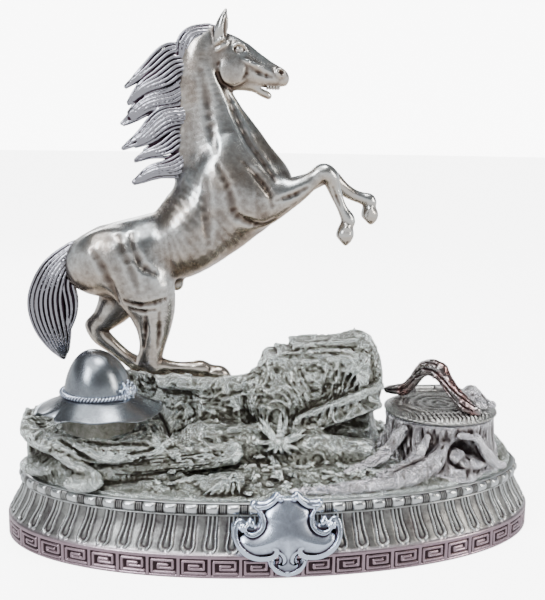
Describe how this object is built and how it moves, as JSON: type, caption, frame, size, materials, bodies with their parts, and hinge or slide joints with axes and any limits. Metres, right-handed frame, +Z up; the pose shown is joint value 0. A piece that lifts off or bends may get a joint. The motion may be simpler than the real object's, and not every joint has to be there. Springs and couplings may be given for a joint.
{
  "type": "figural desk inkwell",
  "caption": "Oval footed metal inkwell stand with a rearing horse, a tree-stump well under a hinged lid and a second well under a lift-off hat.",
  "frame": {"origin": "on the floor under the centre of the oval plinth", "axes": "+X the way the horse faces, along the plinth's long axis; -Y the front with the cartouche; +Z up"},
  "size_m": [0.29, 0.1493, 0.2779],
  "materials": {
    "plinth_metal": "antique silvered spelter, mauve-grey patina in the recesses",
    "ornament_metal": "polished silvered spelter",
    "turf_metal": "chased spelter, olive-grey patina",
    "rock_metal": "cast rock texture, olive-grey patina",
    "bark_metal": "bark texture, worn bright on the ridges",
    "lid_metal": "silvered spelter, tarnished",
    "hat_metal": "smooth gunmetal grey sheen",
    "horse_metal": "silvered spelter worn to copper-brown on the belly and legs",
    "hair_metal": "silvered ridges over dark purple-brown grooves",
    "steel": "plain steel",
    "pot_glass": "pressed clear glass"
  },
  "bodies": {
    "stand": {"plinth": "plinth_metal", "front_cartouche": "ornament_metal", "ground": "turf_metal", "rock_outcrop": "rock_metal", "fallen_log": "bark_metal", "hat_well_collar": "rock_metal", "left_ink_pot": "pot_glass", "stump": "bark_metal", "right_ink_pot": "pot_glass", "hinge_bracket_left": "lid_metal", "hinge_bracket_right": "lid_metal", "hinge_pin": "steel", "horse_body": "horse_metal", "horse_mane": "hair_metal", "horse_tail": "hair_metal", "near_foreleg": "horse_metal", "far_foreleg": "horse_metal", "near_hind_leg": "horse_metal", "far_hind_leg": "horse_metal", "ground_screw_1": "steel", "ground_screw_2": "steel", "ground_screw_3": "steel", "ground_screw_4": "steel", "horse_stud_1": "steel", "horse_washer_1": "steel", "horse_nut_1": "steel", "horse_stud_2": "steel", "horse_washer_2": "steel", "horse_nut_2": "steel"},
    "stump_lid": {"stump_lid": "lid_metal", "branch_handle": "bark_metal", "lid_bark_lump": "bark_metal", "handle_screw_1": "steel", "handle_screw_2": "steel"},
    "hat_cover": {"hat": "hat_metal", "hat_band": "ornament_metal", "hat_rosette": "ornament_metal"}
  },
  "joints": [
    {"name": "stump_lid_hinge", "type": "hinge", "parent": "stand", "child": "stump_lid", "pos_m": [0.0915, 0.0235, 0.0666], "axis": [-1, 0, 0], "range_deg": [0, 105]},
    {"name": "hat_lift", "type": "slide", "parent": "stand", "child": "hat_cover", "axis": [0, -0.5, 0.866], "range_m": [0, 0.07]}
  ]
}
